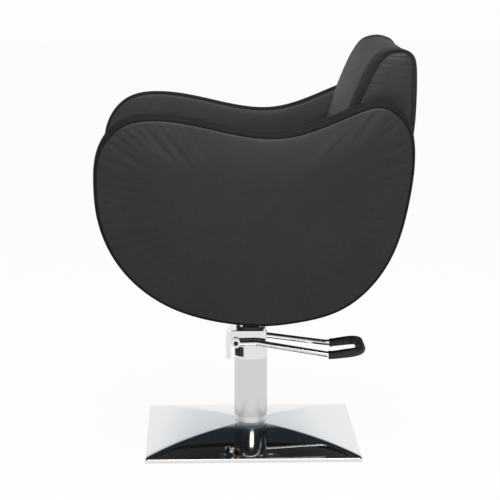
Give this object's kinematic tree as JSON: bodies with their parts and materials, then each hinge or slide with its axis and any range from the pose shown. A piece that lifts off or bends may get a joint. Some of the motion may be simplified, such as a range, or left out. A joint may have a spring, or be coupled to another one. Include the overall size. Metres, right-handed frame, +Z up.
{
  "type": "styling chair",
  "caption": "Hairdresser's styling chair: padded seat and back between two bean-shaped padded arms, on a foot-pumped hydraulic column that swivels and lifts, with a square domed base.",
  "frame": {"origin": "on the column's axis at floor level, centred under the chair's bounding box", "axes": "+Z up; the chair faces -Y; the sitter's left is +X"},
  "size_m": [0.6, 0.7208, 0.9514],
  "materials": {
    "chrome": "polished",
    "satin_steel": "satin",
    "black_steel": "satin",
    "plain_steel": "satin",
    "zinc_steel": "satin",
    "bronze": "satin",
    "nylon": "satin",
    "rubber": "matte",
    "seal_rubber": "matte",
    "plywood": "satin",
    "hardwood": "satin",
    "leatherette": "satin",
    "leatherette_band": "satin",
    "padded_leatherette": "satin leatherette over foam"
  },
  "bodies": {
    "base": {"base_plate": "black_steel", "base_feet": "rubber", "base_cover": "chrome", "fixed_tube": "chrome", "tube_flange": "black_steel", "flange_bolts": "zinc_steel", "bearing_cup": "plain_steel", "thrust_ball": "chrome", "guide_bush": "nylon"},
    "ram": {"ram_rod": "plain_steel", "piston": "plain_steel", "piston_seal": "seal_rubber"},
    "lever": {"lever_frame": "chrome", "pivot_shaft": "plain_steel", "shaft_screws": "black_steel", "cam": "plain_steel", "pedal_rubber": "rubber"},
    "plunger": {"plunger": "plain_steel"},
    "seat": {"outer_sleeve": "satin_steel", "sleeve_wiper": "nylon", "reservoir_tube": "plain_steel", "cylinder_tube": "plain_steel", "rod_gland": "bronze", "pump_head": "chrome", "shaft_bushes": "bronze", "pump_block": "black_steel", "front_guard": "chrome", "guard_screws": "zinc_steel", "seat_hub": "black_steel", "hub_bolts": "chrome", "mount_plate": "black_steel", "plunger_spring": "plain_steel", "mount_bolts": "zinc_steel", "mount_nuts": "zinc_steel", "seat_block": "hardwood", "seat_shell": "plywood", "under_cover": "leatherette", "back_cover": "leatherette", "seat_cushion": "padded_leatherette", "back_cushion": "padded_leatherette", "left_back_side": "padded_leatherette", "left_side_rail": "hardwood", "left_arm_board": "plywood", "left_arm_outer_pad": "padded_leatherette", "left_arm_inner_pad": "padded_leatherette", "left_arm_band": "leatherette_band", "left_arm_bolts": "zinc_steel", "left_arm_nuts": "zinc_steel", "right_back_side": "padded_leatherette", "right_side_rail": "hardwood", "right_arm_board": "plywood", "right_arm_outer_pad": "padded_leatherette", "right_arm_inner_pad": "padded_leatherette", "right_arm_band": "leatherette_band", "right_arm_bolts": "zinc_steel", "right_arm_nuts": "zinc_steel"}
  },
  "joints": [
    {"name": "seat_swivel", "type": "hinge", "parent": "base", "child": "ram", "pos_m": [0, 0, 0.018], "axis": [0, 0, 1], "continuous": true},
    {"name": "column_lift", "type": "slide", "parent": "ram", "child": "seat", "axis": [0, 0, 1], "range_m": [0, 0.12]},
    {"name": "pedal_pivot", "type": "hinge", "parent": "seat", "child": "lever", "pos_m": [0, -0.037, 0.238], "axis": [1, 0, 0], "range_deg": [-25, 0], "stiffness_Nm_per_rad": 12, "springref_deg": 11.46},
    {"name": "plunger_slide", "type": "slide", "parent": "seat", "child": "plunger", "axis": [0, 0, 1], "range_m": [-0.0065, 0], "deforming": ["plunger_spring"]}
  ],
  "couplings": [
    {"joint": "plunger_slide", "follows": "pedal_pivot", "m_per_rad": 0.014}
  ]
}
